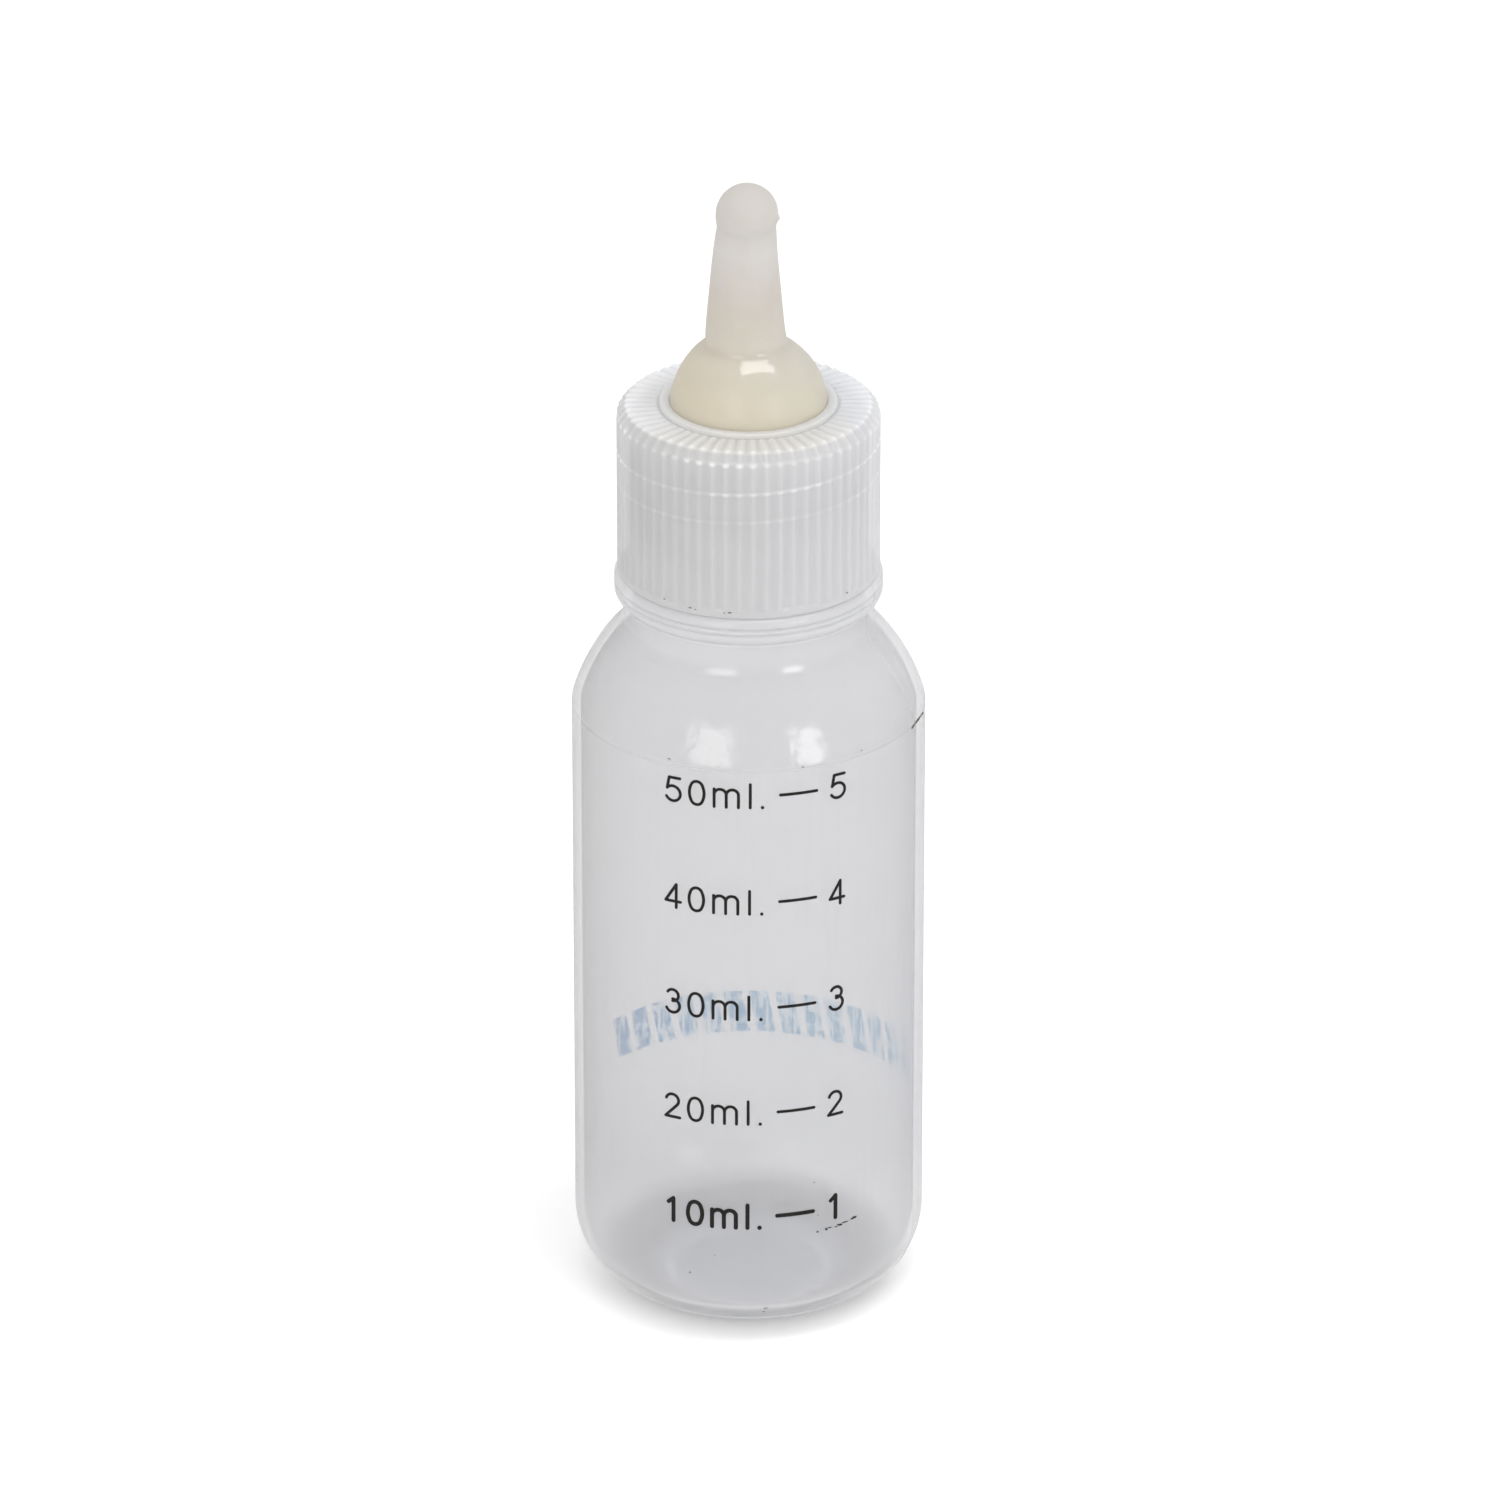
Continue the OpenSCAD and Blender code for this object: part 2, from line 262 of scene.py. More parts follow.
def bottle_profile():
    """From the middle of the base up the outside, over the rim and down the inside to the floor's middle."""
    ball = (PUSH_UP_R ** 2 + PUSH_UP_H ** 2) / (2 * PUSH_UP_H)
    tilt = math.degrees(math.asin(PUSH_UP_R / ball))
    core = BODY_R - BASE_ROUND
    outside = arc((0, PUSH_UP_H - ball), ball, 90, 90 - tilt, 8)
    outside += line((PUSH_UP_R, 0), (core, 0), 2)
    outside += arc((core, BASE_ROUND), BASE_ROUND, -90, 0, 20)[1:]
    shoulder = shoulder_points(0, 24)
    near_seam = SEAM_Z - 0.6
    outside += line((BODY_R, BASE_ROUND), (BODY_R, near_seam), 16)
    outside += line((BODY_R, near_seam), shoulder[0], 6)
    outside += shoulder[1:]
    outside += line(shoulder[-1], (NECK_R, BEAD_Z), 3)
    outside += bead_points()
    finish_z = BEAD_Z + BEAD_H
    outside += line(outside[-1], (FINISH_R, finish_z), 2)
    rim_edge = 0.2
    outside += line((FINISH_R, finish_z), (FINISH_R, RIM_Z - rim_edge), 80)
    outside += arc((FINISH_R - rim_edge, RIM_Z - rim_edge), rim_edge, 0, 90, 3)[1:]
    inside = arc((0, PUSH_UP_H - ball), ball + WALL, 90, 90 - tilt * 0.94, 8)
    inside += arc((core, BASE_ROUND), BASE_ROUND - WALL, -90, 0, 16)
    inner_shoulder = shoulder_points(WALL, 18)
    inside += line((BODY_R - WALL, BASE_ROUND), inner_shoulder[0], 12)
    inside += inner_shoulder[1:]
    flare_z = BEAD_Z - 0.6
    inside += line(inner_shoulder[-1], (NECK_R - WALL, flare_z), 2)
    inside += line((NECK_R - WALL, flare_z), (BORE_R, flare_z + 2), 4)
    inside += line((BORE_R, flare_z + 2), (BORE_R, RIM_Z - rim_edge), 8)
    inside += arc((BORE_R + rim_edge, RIM_Z - rim_edge), rim_edge, 180, 90, 3)[1:]
    inside.reverse()
    return outside + inside, len(outside)


def off_parting(angle):
    """How far an angle is from the nearer of the two parting lines."""
    return min(abs((angle - side + TURN / 2) % TURN - TURN / 2) for side in (PARTING, PARTING + TURN / 2))


def make_bottle():
    profile, outer_count = bottle_profile()
    finish_z = BEAD_Z + BEAD_H

    def shape(r, z, a, i):
        if i < outer_count:
            if z > finish_z + 0.2 and r > FINISH_R - 0.01:
                r += thread_height(z, a, NECK_THREAD_Z, NECK_TURNS)
            elif r > PUSH_UP_R:
                # The groove fades towards -X
                kept = 0.3 + 0.7 * smooth((math.sin(a) + 0.95) / 0.7)
                r -= SEAM_DEPTH * kept * math.exp(-((z - SEAM_Z) / SEAM_HALF) ** 2)
                r += PARTING_H * smooth(1 - off_parting(a) * r / PARTING_HALF)
        return r * math.sin(a), -r * math.cos(a), z

    piece = revolve("bottle_shell", profile, bottle_angles(), shape, sharp=30)
    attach(piece, "bottle")
    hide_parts("bottle")
    return piece


# ---- Screw cap ----

def cap_corner(r, z, cut, steps):
    """The cap's top edge, from the side to the top: a bevel with a soft lower and a crisper upper corner."""
    low = 0.7
    high = 0.4
    turn = math.tan(math.radians(22.5))
    lower = arc((r - low, z - cut - low * turn), low, 0, 45, steps)
    upper = arc((r - cut - high * turn, z - high), high, 45, 90, steps)
    return lower + upper


def cap_profile():
    """Pairs of outlines with the same count of points, one over the ribs and one between them."""
    band = CAP_Z + 0.8
    edge = 0.15
    skin_r = CAP_R - SIDE_RIB_H
    skin_z = CAP_TOP - TOP_RIB_H
    low = [(CAP_INNER_R + edge, CAP_Z)]
    low += line(low[0], (CAP_R - edge, CAP_Z), 3)
    low += arc((CAP_R - edge, CAP_Z + edge), edge, -90, 0, 3)[1:]
    low += line((CAP_R, CAP_Z + edge), (CAP_R, band - 0.1), 3)
    ribs = list(low) + [(CAP_R, band), (CAP_R, band + 0.12), (CAP_R, band + 0.3)]
    skin = list(low) + [(CAP_R - 0.06, band), (CAP_R - 0.6 * SIDE_RIB_H, band + 0.12)]
    skin.append((skin_r, band + 0.3))
    rib_corner = cap_corner(CAP_R, CAP_TOP, CAP_BEVEL, 6)
    skin_corner = cap_corner(skin_r, skin_z, CAP_BEVEL - 0.15, 6)
    ribs += line(ribs[-1], rib_corner[0], 8) + rib_corner[1:]
    skin += line(skin[-1], skin_corner[0], 8) + skin_corner[1:]
    start = LIP_R + 0.35
    ribs += line(ribs[-1], (start + 0.15, CAP_TOP), 8)
    skin += line(skin[-1], (start + 0.15, skin_z), 8)
    ribs += [(start, CAP_TOP - 0.05), (start - 0.15, CAP_TOP - 0.2), (start - 0.25, skin_z)]
    skin += [(start, skin_z), (start - 0.15, skin_z), (start - 0.25, skin_z)]
    lip_edge = 0.1
    inner = [(LIP_R + 0.02, skin_z), (LIP_R, skin_z + 0.1)]
    inner += arc((LIP_R - lip_edge, LIP_TOP - lip_edge), lip_edge, 0, 90, 4)
    inner += line((LIP_R - lip_edge, LIP_TOP), (HOLE_R + lip_edge, LIP_TOP), 2)
    inner += arc((HOLE_R + lip_edge, LIP_TOP - lip_edge), lip_edge, 90, 180, 4)[1:]
    inner += line((HOLE_R, LIP_TOP - lip_edge), (HOLE_R, CAP_CEILING), 3)
    inner += line((HOLE_R, CAP_CEILING), (CAP_INNER_R - CAP_INNER_EDGE, CAP_CEILING), 4)
    inner += arc((CAP_INNER_R - CAP_INNER_EDGE, CAP_CEILING - CAP_INNER_EDGE), CAP_INNER_EDGE, 90, 0, 3)[1:]
    thread_foot = CAP_THREAD_Z - 1.0
    inner += line((CAP_INNER_R, CAP_CEILING - CAP_INNER_EDGE), (CAP_INNER_R, thread_foot), 44)
    inner += line((CAP_INNER_R, thread_foot), (CAP_INNER_R, CAP_Z + edge), 5)
    return ribs + inner, skin + inner, len(ribs)


def make_cap():
    ribs, skin, outer_count = cap_profile()
    step = TURN / RIB_COUNT

    def shape(r, z, a, i):
        if i < outer_count:
            off = abs((a + step / 2) % step - step / 2) * r
            rise = math.exp(-(off / RIB_HALF) ** 2)
            r = skin[i][0] + (r - skin[i][0]) * rise
            z = skin[i][1] + (z - skin[i][1]) * rise
        elif r > CAP_INNER_R - 0.01 and z < CAP_CEILING - CAP_INNER_EDGE:
            r -= thread_height(z, a, CAP_THREAD_Z, CAP_TURNS)
        return r * math.sin(a), -r * math.cos(a), z

    piece = revolve("cap_shell", ribs, even_angles(RIB_COUNT * 10), shape, closed=True, sharp=50)
    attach(piece, "screw_cap")
    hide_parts("screw_cap")
    return piece


# ---- Teat ----

def stem_lean(z):
    """How far the soft stem bends to the side at a height, in millimetres along X."""
    rise = smooth((z - DOME_Z - 3) / 6)
    back = smooth((z - 110) / 7)
    return -0.34 * rise + 0.2 * back


def teat_outline(inset):
    """From the tip down the stem and the dome to the flange, moved inwards."""
    points = arc((0, TIP_Z), TIP_R - inset, 90, -14, 22)
    blend = 1.0 if inset == 0 else 0.8
    stem_top = (STEM_HIGH_R - inset, BULB_Z - 0.45)
    points += line(points[-1], stem_top, 3)
    dome = DOME_R - inset
    low_r = STEM_LOW_R - inset
    stem_low = (low_r, DOME_Z + math.sqrt(dome ** 2 - low_r ** 2))
    slope = math.degrees(math.atan2(stem_low[0] - stem_top[0], stem_top[1] - stem_low[1]))
    # The fillet touches the dome, and its centre moves out a little to meet the tapered stem
    taper_shift = 0.12
    out = low_r + blend * math.cos(math.radians(slope)) + taper_shift
    lift = math.sqrt((dome + blend) ** 2 - out ** 2)
    meet = math.degrees(math.atan2(lift, out))
    fillet = arc((out, DOME_Z + lift), blend, 180 - slope, 180 + meet, 8)
    points += line(stem_top, fillet[0], 26)
    points += fillet[1:]
    points += arc((0, DOME_Z), dome, meet, 0, 22)[1:]
    return points


def teat_profile():
    outside = teat_outline(0)
    outside += line(outside[-1], (DOME_R, FLANGE_Z + FLANGE_T), 3)
    edge = 0.2
    outside += line(outside[-1], (FLANGE_R - edge, FLANGE_Z + FLANGE_T), 4)
    outside += arc((FLANGE_R - edge, FLANGE_Z + FLANGE_T - edge), edge, 90, 0, 3)[1:]
    outside += arc((FLANGE_R - edge, FLANGE_Z + edge), edge, 0, -90, 3)
    inner_r = DOME_R - TEAT_WALL
    outside += line(outside[-1], (inner_r + edge, FLANGE_Z), 4)
    inside = teat_outline(TEAT_WALL)
    inside += line(inside[-1], (inner_r, FLANGE_Z + edge), 3)
    inside.reverse()
    return outside + inside, len(outside)


def make_teat():
    profile, outer_count = teat_profile()
    # The soft dome fills the cap's hole but for a hair's breadth
    swell = HOLE_R - 0.015 - DOME_R
    swell_rise = 1.6
    nub_h = 0.24
    ridge_h = 0.05

    def shape(r, z, a, i):
        if i < outer_count and r < HOLE_R and FLANGE_Z + FLANGE_T < z < BULB_Z - 3:
            r += swell * smooth((LIP_TOP + swell_rise - z) / swell_rise)
        if i < outer_count and z > BULB_Z - 3:
            # A small moulding nub at +X, then a wavy ridge and a wavy groove under the bulb
            across = (a - TURN / 4) * TIP_R
            up = z - BULB_Z - 0.25
            r += nub_h * math.exp(-(across / 0.5) ** 2 - (up / 0.3) ** 2)
            wave = 0.25 * math.sin(3 * a + 1.0) + 0.12 * math.sin(7 * a)
            r += ridge_h * math.exp(-((z - BULB_Z + 0.15 - wave) / 0.16) ** 2)
            r -= ridge_h * math.exp(-((z - BULB_Z + 0.7 + 0.7 * wave) / 0.2) ** 2)
        return r * math.sin(a) + stem_lean(z), -r * math.cos(a), z

    piece = revolve("teat_latex_body", profile, even_angles(160), shape, sharp=50)
    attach(piece, "teat")
    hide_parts("teat")
    return piece


# ---- Marks of use ----

# Each fleck's angle in degrees, and its place up the wall, width and height in millimetres
BOTTLE_FLECKS = [(-28.6, 64.3, 0.35, 0.12), (15.6, 63.95, 0.3, 0.12), (37.5, 64.2, 0.25, 0.12),
                 (19.8, 18.0, 0.22, 0.12), (21.2, 14.25, 0.14, 0.14), (-21.6, 8.0, 0.22, 0.2),
                 (4.0, 3.8, 0.5, 0.14), (3.4, 3.2, 0.25, 0.12), (-13.1, 10.3, 0.14, 0.14)]
CAP_FLECKS = [(-41.5, 78.95, 0.25, 0.1), (-28.1, 78.75, 0.4, 0.14), (-25.6, 78.7, 0.22, 0.1),
              (-10.1, 78.76, 0.45, 0.14), (-12.5, 78.7, 0.2, 0.1), (46.0, 79.0, 0.25, 0.1)]
# Angle and place up the wall along the smeared ink and along the scuff
SMEARS = [(20.9, 12.46), (27.8, 12.52), (33.3, 12.84), (37.0, 12.93)]
SCRATCH = [(64.4, 63.55), (70.3, 63.65), (78.0, 63.4)]
SCRATCH_HALF = 0.12
# How far a mark stands out of its wall, and how far it reaches in
MARK_LIFT = 0.03


def add_patch(verts, faces, outline, low, high, wall_r):
    """A thin closed flake on a round wall, from angle and height pairs in radians and millimetres."""
    first = len(verts)
    for lift in (low, high):
        for a, z in outline:
            r = wall_r(z) + lift
            verts.append((r * math.sin(a) * MM, -r * math.cos(a) * MM, z * MM))
    count = len(outline)
    faces.append([first + i for i in reversed(range(count))])
    faces.append([first + count + i for i in range(count)])
    for i in range(count):
        k = (i + 1) % count
        faces.append([first + i, first + k, first + count + k, first + count + i])


def blot(rng, angle, z, width, height, wall_r):
    """An irregular round outline about a place on the wall."""
    out = []
    for i in range(9):
        t = TURN * i / 9
        size = rng.uniform(0.65, 1.15)
        out.append((math.radians(angle) + size * width / 2 * math.cos(t) / wall_r(z),
                    z + size * height / 2 * math.sin(t)))
    return out


def bottle_wall(z):
    """The bottle's outer radius at a height below the neck."""
    if z < BASE_ROUND:
        return BODY_R - BASE_ROUND + math.sqrt(BASE_ROUND ** 2 - (BASE_ROUND - z) ** 2)
    if z > SEAM_Z:
        return math.sqrt(SHOULDER_R ** 2 - (z - SHOULDER_Z) ** 2)
    return BODY_R


def cap_wall(_):
    """The cap's outer radius, the same at every height."""
    return CAP_R


def marks(name, body, outlines, wall_r):
    """One thin piece from a list of outlines, just proud of the wall."""
    verts = []
    faces = []
    for outline in outlines:
        add_patch(verts, faces, outline, -MARK_LIFT, MARK_LIFT, wall_r)
    mesh = bpy.data.meshes.new(name)
    mesh.from_pydata(verts, [], faces)
    mesh.validate()
    piece = bpy.data.objects.new(name, mesh)
    bpy.context.scene.collection.objects.link(piece)
    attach(piece, body)
    return piece


def make_flecks():
    rng = random.Random(7)
    outlines = [blot(rng, *fleck, bottle_wall) for fleck in BOTTLE_FLECKS]
    return marks("dirt_flecks", "bottle", outlines, bottle_wall)


def make_cap_flecks():
    rng = random.Random(8)
    outlines = [blot(rng, *fleck, cap_wall) for fleck in CAP_FLECKS]
    return marks("cap_dirt", "screw_cap", outlines, cap_wall)


def make_smear():
    """Ink dragged sideways in a dotted trail under the lowest numeral."""
    rng = random.Random(9)
    outlines = []
    for (a, z), (b, z_next) in zip(SMEARS, SMEARS[1:]):
        for _ in range(7):
            t = rng.random()
            outlines.append(blot(rng, a + (b - a) * t, z + (z_next - z) * t + rng.uniform(-0.12, 0.12),
                                 rng.uniform(0.12, 0.55), rng.uniform(0.08, 0.16), bottle_wall))
    return marks("ink_smear", "bottle", outlines, bottle_wall)


def make_scratch():
    """A dark scuff along the corner between the body and the shoulder."""
    outlines = []
    for (a, z), (b, z_next) in zip(SCRATCH, SCRATCH[1:]):
        start = math.radians(a)
        end = math.radians(b)
        outlines.append([(start, z - SCRATCH_HALF), (end, z_next - SCRATCH_HALF),
                         (end, z_next + SCRATCH_HALF), (start, z + SCRATCH_HALF)])
    return marks("shoulder_scuff", "bottle", outlines, bottle_wall)


# ---- Materials ----

def new_material(name):
    """An empty node material and its tree."""
    mat = bpy.data.materials.new(name)
    mat.use_nodes = True
    mat.node_tree.nodes.clear()
    return mat, mat.node_tree


def node(tree, kind, inputs=None, **settings):
    """A shader node with its settings made, and its sockets set or linked."""
    made = tree.nodes.new(kind)
    for key, value in settings.items():
        setattr(made, key, value)
    for key, value in (inputs or {}).items():
        if isinstance(value, bpy.types.NodeSocket):
            tree.links.new(value, made.inputs[key])
        else:
            made.inputs[key].default_value = value
    return made


def noise(tree, vector, scale, detail, rough):
    made = node(tree, "ShaderNodeTexNoise", {"Vector": vector, "Scale": scale, "Detail": detail,
                                             "Roughness": rough})
    return made.outputs["Fac"]


def remap(tree, value, start, end, low=0.0, high=1.0):
    made = node(tree, "ShaderNodeMapRange", {"Value": value, "From Min": start, "From Max": end,
                                             "To Min": low, "To Max": high})
    return made.outputs["Result"]


def math_node(tree, operation, a, b):
    return node(tree, "ShaderNodeMath", {0: a, 1: b}, operation=operation).outputs["Value"]


def times(tree, a, b):
    return math_node(tree, "MULTIPLY", a, b)


def distance_from(tree, value, centre):
    """How far a value is from a centre, on either side."""
    return math_node(tree, "ABSOLUTE", math_node(tree, "SUBTRACT", value, centre), 0.0)


def mix_colour(tree, factor, a, b):
    """A colour between two others. A factor or colour may be a value or a socket."""
    made = node(tree, "ShaderNodeMix", {}, data_type="RGBA")
    for socket, value in zip((0, 6, 7), (factor, a, b)):
        if isinstance(value, bpy.types.NodeSocket):
            tree.links.new(value, made.inputs[socket])
        else:
            made.inputs[socket].default_value = value
    return made.outputs[2]


def fade(tree, value, start, end, low=0.0, high=1.0):
    """As remap, for a length in metres that goes from start to end, which are in millimetres."""
    return remap(tree, value, start * MM, end * MM, low, high)


def object_place(tree, stretch=(1, 1, 1)):
    """A point's own place in metres, squeezed along some axes to stretch a pattern."""
    coords = node(tree, "ShaderNodeTexCoord").outputs["Object"]
    if stretch == (1, 1, 1):
        return coords
    return node(tree, "ShaderNodeMapping", {"Vector": coords, "Scale": stretch}).outputs["Vector"]


def bump(tree, height, strength, distance, normal=None):
    inputs = {"Height": height, "Strength": strength, "Distance": distance}
    if normal is not None:
        inputs["Normal"] = normal
    return node(tree, "ShaderNodeBump", inputs).outputs["Normal"]


def mix_shader(tree, share, a, b):
    """Two shaders mixed, with the second one's share from 0 to 1."""
    return node(tree, "ShaderNodeMixShader", {0: share, 1: a, 2: b}).outputs["Shader"]


def finish_material(tree, surface):
    out = node(tree, "ShaderNodeOutputMaterial")
    tree.links.new(surface, out.inputs["Surface"])


def coordinate(tree, place, axis):
    return node(tree, "ShaderNodeSeparateXYZ", {"Vector": place}).outputs[axis]


def round_place(tree, place):
    """A point's distance from the bottle's axis, its height and its angle about the axis."""
    parts = node(tree, "ShaderNodeSeparateXYZ", {"Vector": place})
    x, y, z = (parts.outputs[k] for k in "XYZ")
    squares = math_node(tree, "ADD", times(tree, x, x), times(tree, y, y))
    return math_node(tree, "SQRT", squares, 0.0), z, math_node(tree, "ARCTAN2", y, x)


def grazing_share(tree, straight, grazing, power=5.0):
    """A share that goes from one value, where a face is seen straight on, to another at its edge."""
    facing = node(tree, "ShaderNodeLayerWeight", {"Blend": 0.5}).outputs["Facing"]
    return remap(tree, math_node(tree, "POWER", facing, power), 0, 1, straight, grazing)


def milky_surface(tree, tone, through, gloss, rough, ripple, scatter, front_share):
    """Soft translucent plastic.

    through is the share of light that passes straight through one face. gloss is the share that it reflects,
    seen straight on and at a grazing angle. ripple is how strongly the gloss waves, scatter how far light
    spreads inside, in metres, and front_share how much of the rest comes back from the lit side.
    """
    place = object_place(tree)
    fine = noise(tree, place, 1500, 2, 0.55)
    broad = noise(tree, place, 550, 2, 0.5)
    normal = bump(tree, fine, ripple, 0.03 * MM)
    normal = bump(tree, broad, ripple, 0.1 * MM, normal)
    shine = remap(tree, fine, 0.3, 0.7, rough * 0.8, rough * 1.2)
    front = node(tree, "ShaderNodeBsdfPrincipled",
                 {"Base Color": tone, "Roughness": 0.6, "Specular IOR Level": 0.2, "Subsurface Weight": 1.0,
                  "Subsurface Radius": (1.0, 1.0, 1.0), "Subsurface Scale": scatter}).outputs["BSDF"]
    back = node(tree, "ShaderNodeBsdfTranslucent", {"Color": tone}).outputs["BSDF"]
    body = mix_shader(tree, front_share, back, front)
    see = node(tree, "ShaderNodeBsdfTransparent", {"Color": (0.985, 0.985, 0.99, 1)}).outputs["BSDF"]
    milky = mix_shader(tree, through, body, see)
    shiny = node(tree, "ShaderNodeBsdfGlossy", {"Roughness": shine, "Normal": normal}).outputs["BSDF"]
    return mix_shader(tree, grazing_share(tree, *gloss), milky, shiny)


def body_tone(tree, place, side, up):
    """The wall: a little paler and bluer towards +X as painted light from that side, clouded, with faint
    drawn streaks, and painted paler at the foot.
    """
    cloud = noise(tree, place, 90, 3, 0.55)
    streaks = noise(tree, object_place(tree, (1, 1, 0.04)), 1400, 2, 0.5)
    darker = (0.50, 0.50, 0.505, 1)
    # Painted light: a little paler and bluer towards +X, as if lit from that side
    tone = mix_colour(tree, side, (0.525, 0.525, 0.525, 1), (0.56, 0.56, 0.575, 1))
    tone = mix_colour(tree, remap(tree, cloud, 0.35, 0.65, 0, 0.25), tone, darker)
    tone = mix_colour(tree, remap(tree, streaks, 0.55, 0.75, 0, 0.25), tone, darker)
    # Painted light: paler low down, lifting the shade near the floor
    return mix_colour(tree, fade(tree, up, 18, 5), tone, (0.65, 0.65, 0.655, 1))


def foot_tone(tree, tone, floor, across, up):
    """Painted light over the wall's tone: the thick floor paler, most at its edge, a pale band above it and a
    paler foot.
    """
    # Painted light: the thick floor is lifted against the shade under the bottle, most at its curved edge
    lit_floor_edge = fade(tree, across, 11.5, 14.5)
    floor_tone_and_light = mix_colour(tree, lit_floor_edge, (0.80, 0.81, 0.84, 1), (0.93, 0.94, 0.97, 1))
    tone = mix_colour(tree, floor, tone, floor_tone_and_light)
    # Painted light: a pale band where the wall curves under and catches light from the floor
    light_band_z = 3.7
    off_line = distance_from(tree, up, light_band_z * MM)
    tone = mix_colour(tree, fade(tree, off_line, 0.8, 0.2, 0, 0.6), tone, (0.86, 0.85, 0.83, 1))
    # Painted light: a paler foot, lifting the floor's shadow round the base
    foot = times(tree, fade(tree, up, 4.2, 2), fade(tree, across, 9.5, 11))
    return mix_colour(tree, foot, tone, (0.71, 0.71, 0.715, 1))


def neck_tone(tree, tone, side, up, bead):
    """Over the wall's tone: a paler neck, and painted light: the shoulder's +X side paler and the bead paler
    against the shade under the cap.
    """
    neck = fade(tree, up, BEAD_Z - 3.5, BEAD_Z - 2)
    tone = mix_colour(tree, neck, tone, (0.61, 0.61, 0.62, 1))
    # Painted light: the shoulder's +X side is paler, as if lit from that side
    lit_shoulder_side = times(tree, fade(tree, up, 64, 69), remap(tree, side, 0.75, 1.0))
    tone = mix_colour(tree, lit_shoulder_side, tone, (0.63, 0.63, 0.645, 1))
    # Painted light: the bead is paler, lifting the shade under the cap's edge
    return mix_colour(tree, bead, tone, (0.72, 0.72, 0.73, 1))


def mould_lines(tree, tone, up, angle):
    """Darkens the corner between body and shoulder and, below it, paints shade along the two parting lines.
    """
    off_seam = distance_from(tree, up, SEAM_Z * MM)
    tone = mix_colour(tree, fade(tree, off_seam, 0.18, 0.04, 0, 0.5), tone, (0.34, 0.32, 0.30, 1))
    # In half turns from the parting line at +X, so that whole numbers are the two lines
    past_line = math_node(tree, "ADD", angle, TURN / 4 - PARTING + TURN)
    half_turns = math_node(tree, "DIVIDE", past_line, TURN / 2)
    part = math_node(tree, "FRACT", math_node(tree, "ADD", half_turns, 0.5), 0.0)
    off_line = distance_from(tree, part, 0.5)
    below = fade(tree, up, SEAM_Z, SEAM_Z - 0.5)
    # Painted shade: a dark line down each parting line, in place of its ridge's shading
    parting_shade_mask = times(tree, remap(tree, off_line, 0.0045, 0.0015, 0, 0.5), below)
    return mix_colour(tree, parting_shade_mask, tone, (0.34, 0.34, 0.35, 1))


def milky_bottle(name):
    """Thin-walled milky plastic, which lets less light straight through at its thick floor and bead."""
    mat, tree = new_material(name)
    place = object_place(tree)
    across, up, angle = round_place(tree, place)
    # Across the bottle in X; it steers the painted light from +X in the tones below
    side = fade(tree, coordinate(tree, place, "X"), -17, 17)
    floor = times(tree, fade(tree, across, 14.9, 14.75), fade(tree, up, 7, 6))
    bead = fade(tree, up, BEAD_Z - 0.4, BEAD_Z + 0.4)
    tone = body_tone(tree, place, side, up)
    tone = foot_tone(tree, tone, floor, across, up)
    tone = neck_tone(tree, tone, side, up, bead)
    tone = mould_lines(tree, tone, up, angle)
    thin_share = 0.72
    thick_share = 0.25
    share = remap(tree, math_node(tree, "MAXIMUM", floor, bead), 0, 1, thin_share, thick_share)
    through = times(tree, share, grazing_share(tree, 1.0, 0.30, 3.0))
    ripple = fade(tree, up, 72, 68)
    surface = milky_surface(tree, tone, through, gloss=(0.038, 0.05), rough=0.035, ripple=ripple,
                            scatter=0.4 * MM, front_share=0.5)
    finish_material(tree, surface)
    return mat


def thread_glint_lines(tree, across, up, angle, dots):
    """A painted highlight where the thread inside shows through the cap's side: two turns that the ribs break
    into dots.
    """
    # ARCTAN2's zero is at +X, a quarter of a turn past the front
    turned = math_node(tree, "ADD", math_node(tree, "DIVIDE", angle, TURN), 0.25)
    helix = math_node(tree, "SUBTRACT", math_node(tree, "DIVIDE", up, PITCH * MM), turned)
    front_z = CAP_THREAD_Z + CAP_TURNS * PITCH - 0.25
    phase = math_node(tree, "FRACT", math_node(tree, "SUBTRACT", helix, front_z / PITCH + 0.5), 0.0)
    mask = remap(tree, distance_from(tree, phase, 0.5), 0.09, 0.02)
    mask = times(tree, mask, remap(tree, dots, -0.4, 0.95, 0.5, 1.0))
    mask = times(tree, mask, fade(tree, up, 86.6, 91.4))
    mask = times(tree, mask, fade(tree, up, 93.4, 93.0))
    return times(tree, mask, fade(tree, across, 12.2, 12.4))


def corner_glint_dots(tree, across, up, dots):
    """Painted highlights where each rib bends over the two corners of the cap's bevelled edge."""
    crest = remap(tree, dots, -0.5, 0.9)
    off_low = distance_from(tree, up, (CAP_TOP - CAP_BEVEL - 0.25) * MM)
    low = times(tree, crest, fade(tree, off_low, 0.32, 0.08))
    off_high = distance_from(tree, across, (CAP_R - CAP_BEVEL) * MM)
    high = times(tree, crest, fade(tree, off_high, 0.25, 0.1))
    high = times(tree, high, fade(tree, up, CAP_TOP - 0.3, CAP_TOP - 0.1))
    return math_node(tree, "MAXIMUM", low, high)


